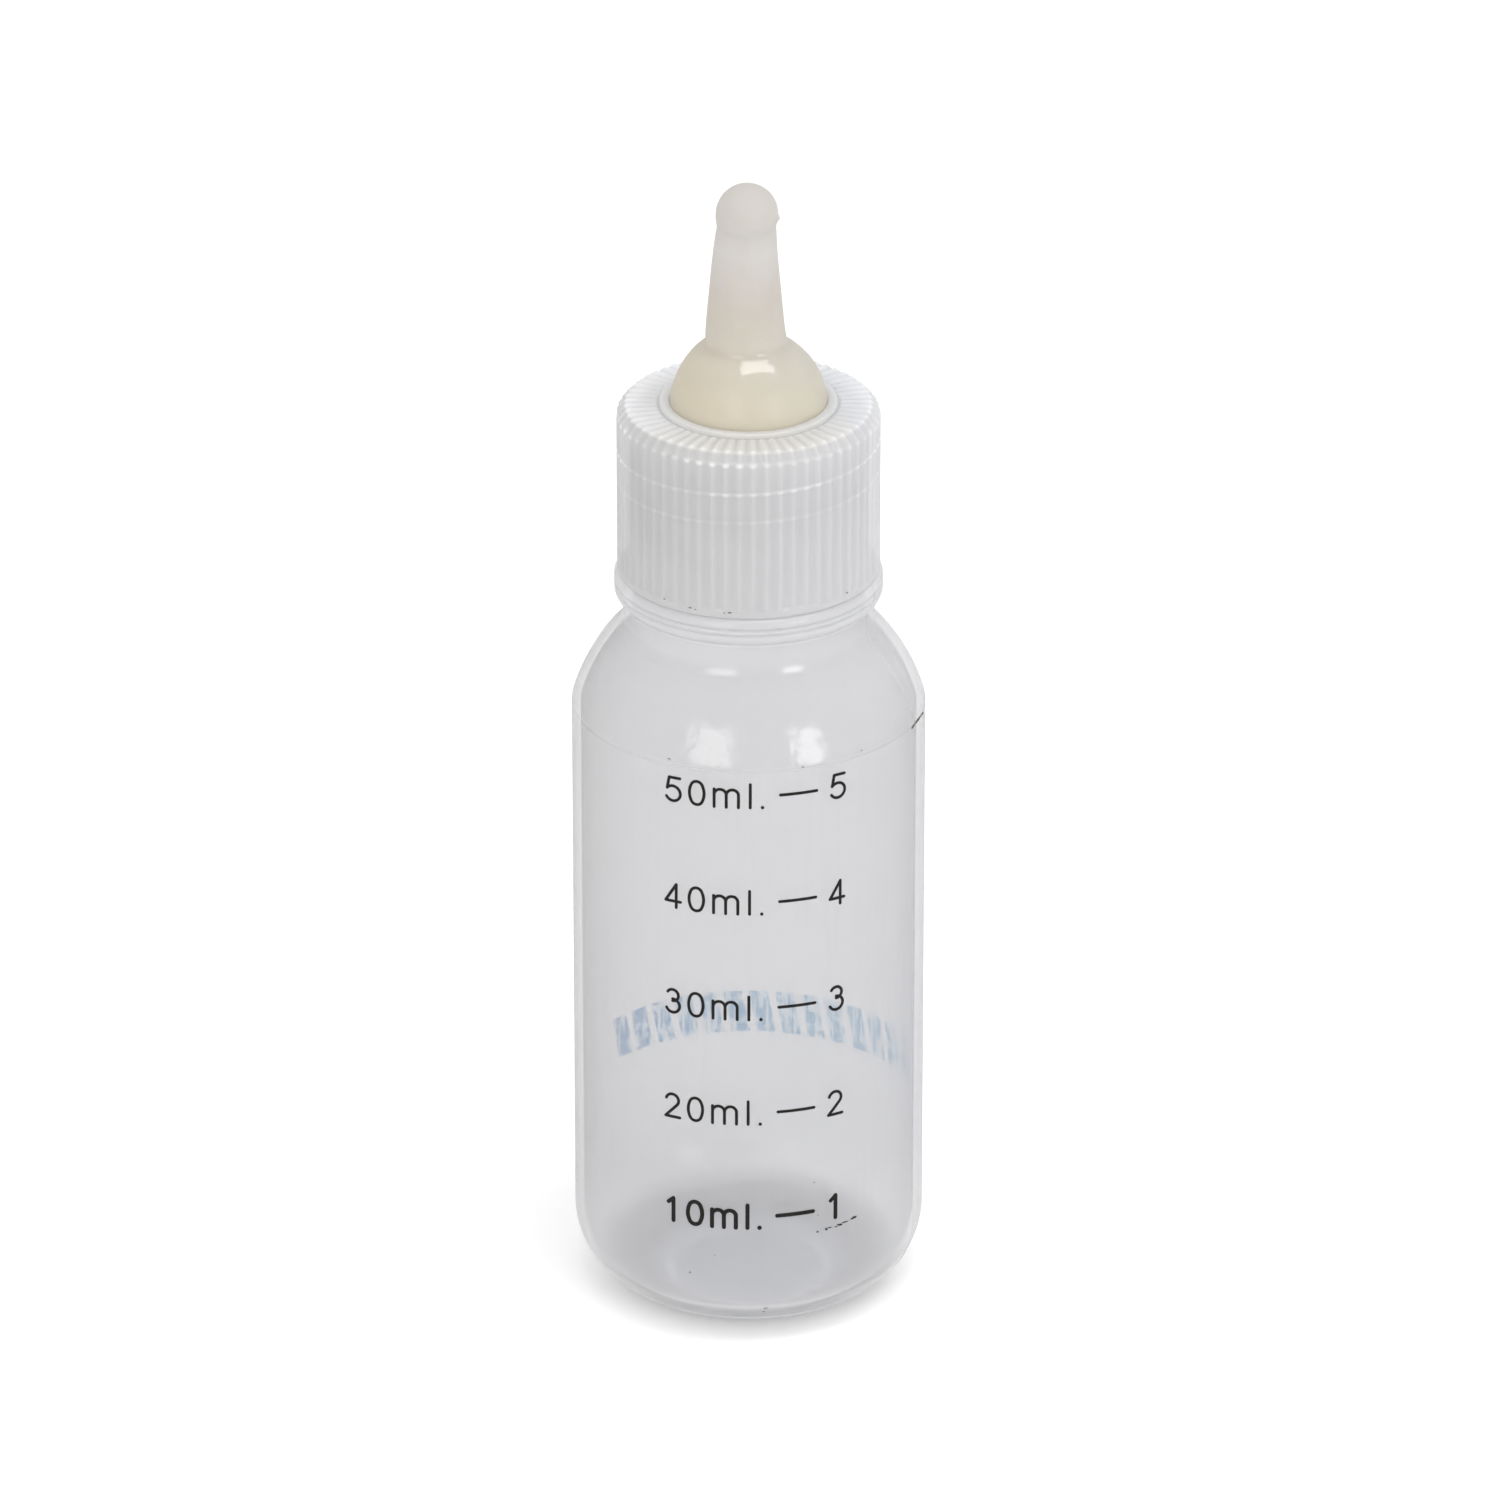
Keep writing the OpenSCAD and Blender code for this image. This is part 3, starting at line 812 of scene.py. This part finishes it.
def milky_cap(name):
    """Thicker milky plastic with painted light: paler towards +X and on top, and painted highlights on the
    thread inside and the ribs' corners.
    """
    mat, tree = new_material(name)
    place = object_place(tree)
    across, up, angle = round_place(tree, place)
    side = fade(tree, coordinate(tree, place, "X"), -12, 12)
    cloud = noise(tree, place, 120, 3, 0.55)
    # Uneven strength for the painted highlights below
    patch = remap(tree, noise(tree, place, 160, 1, 0.5), 0.42, 0.58, 0.35, 0.9)
    dots = math_node(tree, "COSINE", times(tree, angle, RIB_COUNT), 0.0)
    # Painted light: the side is paler and a little bluer towards +X, as if lit from that side
    tone = mix_colour(tree, side, (0.59, 0.59, 0.59, 1), (0.67, 0.67, 0.69, 1))
    tone = mix_colour(tree, remap(tree, cloud, 0.35, 0.65, 0, 0.5), tone, (0.67, 0.67, 0.675, 1))
    # Painted highlight: bright lines where the thread inside catches the light through the wall
    thread = times(tree, thread_glint_lines(tree, across, up, angle, dots), patch)
    tone = mix_colour(tree, thread, tone, (0.92, 0.92, 0.92, 1))
    # Painted light: the top is paler, as if lit from above, and paler still towards -X
    lit_top_tone = mix_colour(tree, side, (0.90, 0.91, 0.95, 1), (0.79, 0.81, 0.85, 1))
    warm_front = fade(tree, coordinate(tree, place, "Y"), -4, -10)
    lit_top_tone = mix_colour(tree, warm_front, lit_top_tone, (0.83, 0.82, 0.78, 1))
    tone = mix_colour(tree, fade(tree, up, CAP_TOP - 0.4, CAP_TOP - 0.15), tone, lit_top_tone)
    # Painted highlight: bright dots where each rib bends over the cap's corners
    corners = times(tree, corner_glint_dots(tree, across, up, dots), patch)
    tone = mix_colour(tree, corners, tone, (0.90, 0.90, 0.90, 1))
    surface = milky_surface(tree, tone, through=0.28, gloss=(0.036, 0.045), rough=0.2, ripple=0.05,
                            scatter=1.6 * MM, front_share=0.7)
    finish_material(tree, surface)
    return mat


def latex_tone(tree, place):
    """Yellow at the dome, with painted light: paler and yellower towards -X and a pale glow at its foot;
    greyer up the stem and at the tip.
    """
    up = coordinate(tree, place, "Z")
    side = fade(tree, coordinate(tree, place, "X"), -7.5, 6.5)
    cloud = remap(tree, noise(tree, place, 260, 3, 0.55), 0.35, 0.65)
    # Painted light: the dome is paler and yellower towards -X, as the light falls
    dome = mix_colour(tree, side, (0.77, 0.71, 0.565, 1), (0.72, 0.70, 0.625, 1))
    # Painted light: a pale yellow glow at the dome's foot, lifting the shade by the cap
    dome = mix_colour(tree, fade(tree, up, 99.5, 95.5), dome, (0.86, 0.80, 0.66, 1))
    low_stem = mix_colour(tree, cloud, (0.69, 0.66, 0.625, 1), (0.665, 0.63, 0.59, 1))
    high_stem = mix_colour(tree, cloud, (0.725, 0.71, 0.695, 1), (0.70, 0.68, 0.66, 1))
    stem = mix_colour(tree, fade(tree, up, 107, 112), low_stem, high_stem)
    stem = mix_colour(tree, fade(tree, up, 112.5, 116), stem, (0.66, 0.64, 0.62, 1))
    return mix_colour(tree, fade(tree, up, 94, 108), dome, stem)


def latex(name):
    """Pale soft latex, glossier in a band round the dome's top."""
    mat, tree = new_material(name)
    place = object_place(tree)
    up = coordinate(tree, place, "Z")
    tone = latex_tone(tree, place)
    fine = noise(tree, place, 900, 3, 0.5)
    normal = bump(tree, fine, 1.0, 0.01 * MM)
    shine = remap(tree, fine, 0.3, 0.7, 0.06, 0.09)
    glossy_band = times(tree, fade(tree, up, 98.5, 100.5), fade(tree, up, 106, 103.5))
    share = remap(tree, glossy_band, 0, 1, 0.008, 0.055)
    front = node(tree, "ShaderNodeBsdfPrincipled",
                 {"Base Color": tone, "Roughness": 0.5, "Specular IOR Level": 0.2, "Subsurface Weight": 1.0,
                  "Subsurface Radius": (1.0, 0.9, 0.7), "Subsurface Scale": 2.5 * MM}).outputs["BSDF"]
    back = node(tree, "ShaderNodeBsdfTranslucent", {"Color": tone}).outputs["BSDF"]
    gloss = node(tree, "ShaderNodeBsdfGlossy", {"Roughness": shine, "Normal": normal}).outputs["BSDF"]
    finish_material(tree, mix_shader(tree, share, mix_shader(tree, 0.5, front, back), gloss))
    return mat


def black_ink(name):
    """Printed ink, thinner in pinholes."""
    mat, tree = new_material(name)
    place = object_place(tree)
    fine = noise(tree, place, 5200, 2, 0.6)
    patch = noise(tree, place, 900, 2, 0.5)
    tone = mix_colour(tree, patch, (0.004, 0.0035, 0.003, 1), (0.012, 0.010, 0.009, 1))
    shine = remap(tree, fine, 0.3, 0.7, 0.5, 0.7)
    ink = node(tree, "ShaderNodeBsdfPrincipled", {"Base Color": tone, "Roughness": shine,
                                                  "Specular IOR Level": 0.15}).outputs["BSDF"]
    see = node(tree, "ShaderNodeBsdfTransparent").outputs["BSDF"]
    cover = remap(tree, fine, 0.25, 0.3, 0.5, 1.0)
    finish_material(tree, mix_shader(tree, cover, see, ink))
    return mat


def dark_dirt(name):
    """Brownish-black dirt, thinner in places."""
    mat, tree = new_material(name)
    fine = noise(tree, object_place(tree), 4000, 2, 0.6)
    tone = mix_colour(tree, fine, (0.03, 0.02, 0.015, 1), (0.12, 0.09, 0.07, 1))
    dirt = node(tree, "ShaderNodeBsdfPrincipled", {"Base Color": tone, "Roughness": 0.8}).outputs["BSDF"]
    see = node(tree, "ShaderNodeBsdfTransparent").outputs["BSDF"]
    cover = remap(tree, fine, 0.3, 0.6, 0.6, 1.0)
    finish_material(tree, mix_shader(tree, cover, see, dirt))
    return mat


def blue_ink(name):
    """A worn film of blue, deeper towards -X, with vertical streaks and rubbed patches."""
    mat, tree = new_material(name)
    place = object_place(tree)
    streaks = noise(tree, object_place(tree, (1, 1, 0.08)), 2400, 2, 0.6)
    patch = noise(tree, place, 620, 3, 0.6)
    tone = mix_colour(tree, patch, (0.25, 0.50, 0.85, 1), (0.36, 0.60, 0.92, 1))
    ink = node(tree, "ShaderNodeBsdfPrincipled", {"Base Color": tone, "Roughness": 0.5}).outputs["BSDF"]
    side = fade(tree, coordinate(tree, place, "X"), -9, 2)
    tint = mix_colour(tree, side, (0.26, 0.56, 0.80, 1), (0.46, 0.73, 0.88, 1))
    film = node(tree, "ShaderNodeBsdfTransparent", {"Color": tint}).outputs["BSDF"]
    print_film = mix_shader(tree, 0.2, film, ink)
    see = node(tree, "ShaderNodeBsdfTransparent").outputs["BSDF"]
    kept = times(tree, remap(tree, streaks, 0.42, 0.52), remap(tree, patch, 0.40, 0.50))
    cover = remap(tree, kept, 0, 1, 0.15, 1.0)
    finish_material(tree, mix_shader(tree, cover, see, print_film))
    return mat


def paint(piece, mat):
    slots = piece.data.materials
    if len(slots) == 0:
        slots.append(mat)
    for i in range(len(slots)):
        slots[i] = mat


# ---- Floor, light and camera ----

AIM = (0.00014, 0.0, 0.05785)
MIDDLE = mathutils.Vector((0, 0, 0.06))
CAMERA_SIDE = math.radians(2.05)


def direction(azimuth, elevation):
    """Unit vector towards a place round the bottle, with azimuth from the camera's side, to the right."""
    a = math.radians(azimuth) - CAMERA_SIDE
    e = math.radians(elevation)
    return (math.sin(a) * math.cos(e), -math.cos(a) * math.cos(e), math.sin(e))


def soft_box(name, azimuth, elevation, distance, width, height, power, colour=(1, 1, 1), spin=0):
    """A rectangular lamp that looks at the bottle, turned about its own line of sight by spin degrees."""
    data = bpy.data.lights.new(name, "AREA")
    data.shape = "RECTANGLE"
    data.size = width
    data.size_y = height
    data.energy = power
    data.color = colour
    lamp = bpy.data.objects.new(name, data)
    bpy.context.scene.collection.objects.link(lamp)
    lamp.location = [m + distance * d for m, d in zip(MIDDLE, direction(azimuth, elevation))]
    lamp.rotation_mode = "QUATERNION"
    facing = lamp.location - MIDDLE
    turned = mathutils.Quaternion((0, 0, 1), math.radians(spin))
    lamp.rotation_quaternion = facing.to_track_quat("Z", "Y") @ turned
    lamp.visible_camera = False


def make_lights():
    soft_box("left_box", azimuth=-24.5, elevation=20.5, distance=1.2, width=0.53, height=0.53, power=2.75,
             colour=(1.0, 0.97, 0.94))
    soft_box("right_box", azimuth=40.5, elevation=16.5, distance=1.2, width=0.38, height=0.47, power=2.6,
             colour=(0.98, 0.99, 1.0))
    soft_box("overhead", azimuth=50, elevation=74, distance=2.5, width=2.0, height=0.62, power=20, spin=-30)
    world = bpy.data.worlds.new("studio")
    world.use_nodes = True
    background = world.node_tree.nodes["Background"]
    background.inputs["Color"].default_value = (1.0, 1.0, 1.0, 1)
    background.inputs["Strength"].default_value = 1.0
    bpy.context.scene.world = world


def make_floor():
    half = 3.0
    mesh = bpy.data.meshes.new("floor")
    corners = [(-half, -half, 0), (half, -half, 0), (half, half, 0), (-half, half, 0)]
    mesh.from_pydata(corners, [], [(0, 1, 2, 3)])
    floor = bpy.data.objects.new("floor", mesh)
    bpy.context.scene.collection.objects.link(floor)
    mat, tree = new_material("pale_floor")
    cloud = noise(tree, object_place(tree), 6, 2, 0.5)
    tone = mix_colour(tree, cloud, (0.93, 0.93, 0.93, 1), (0.95, 0.95, 0.95, 1))
    finish_material(tree, node(tree, "ShaderNodeBsdfPrincipled", {"Base Color": tone, "Roughness": 0.8,
                                                                  "Specular IOR Level": 0.2}).outputs["BSDF"])
    mesh.materials.append(mat)


def make_camera():
    elevation = 25.5
    distance = 1.12
    data = bpy.data.cameras.new("camera")
    data.sensor_width = 36
    data.lens = 271.07
    camera = bpy.data.objects.new("camera", data)
    bpy.context.scene.collection.objects.link(camera)
    away = direction(0, elevation)
    camera.location = [t + distance * d for t, d in zip(AIM, away)]
    camera.rotation_mode = "XYZ"
    camera.rotation_euler = (math.radians(90 - elevation), 0, -CAMERA_SIDE)
    data.clip_start = 0.05
    data.clip_end = 20
    bpy.context.scene.camera = camera


# ---- The whole ----

make_floor()
make_lights()
make_camera()
paint(make_bottle(), milky_bottle("milky_bottle"))
paint(make_cap(), milky_cap("milky_cap"))
paint(make_teat(), latex("pale_latex"))
print_black = black_ink("printed_black")
dirt = dark_dirt("dark_dirt")
for mark in (make_flecks(), make_cap_flecks(), make_scratch()):
    paint(mark, dirt)
paint(make_smear(), print_black)
for line_name in ("scale_50ml", "scale_40ml", "scale_30ml", "scale_20ml", "scale_10ml"):
    paint(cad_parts[line_name], print_black)
paint(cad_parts["rear_band"], blue_ink("worn_blue"))

bpy.context.scene.view_settings.view_transform = "Standard"
bpy.context.scene.cycles.transparent_max_bounces = 24
